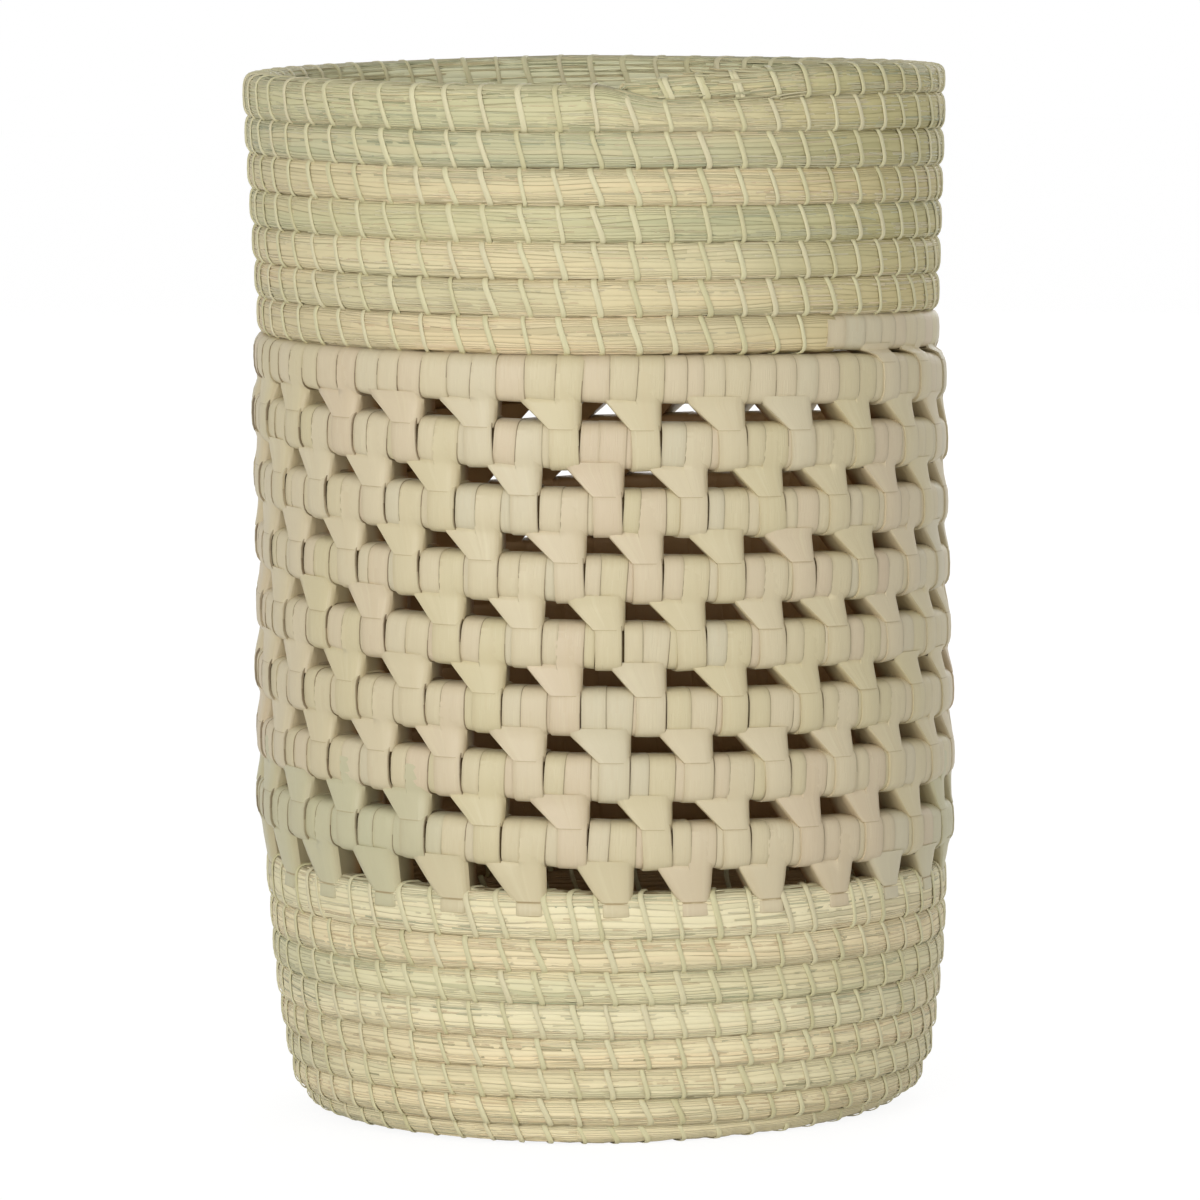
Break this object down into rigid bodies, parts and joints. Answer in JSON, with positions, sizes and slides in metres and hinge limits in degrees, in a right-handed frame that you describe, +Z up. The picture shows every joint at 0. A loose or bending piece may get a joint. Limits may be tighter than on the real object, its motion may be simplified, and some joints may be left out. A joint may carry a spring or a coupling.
{
  "type": "woven palm leaf vase",
  "caption": "Tall round coiled-grass vase: tightly sewn base, foot and neck, with a knotted openwork band of palm-wrapped coils between them and an open top.",
  "frame": {"origin": "Centre of the flat underside of the base, on the surface the vase stands on.", "axes": "+Z up along the vase's axis, -Y towards the viewer of the picture (front), +X to that viewer's right."},
  "size_m": [0.219, 0.219, 0.3239],
  "materials": {
    "grass": "matte dry grass",
    "palm": "satin palm leaf"
  },
  "bodies": {
    "root": {"base_spiral": "grass", "lower_wall": "grass", "openwork_row_1": "palm", "openwork_row_2": "palm", "openwork_row_3": "palm", "openwork_row_4": "palm", "openwork_row_5": "palm", "openwork_row_6": "palm", "openwork_row_7": "palm", "openwork_row_8": "palm", "openwork_row_9": "palm", "upper_wall": "grass"}
  },
  "joints": []
}
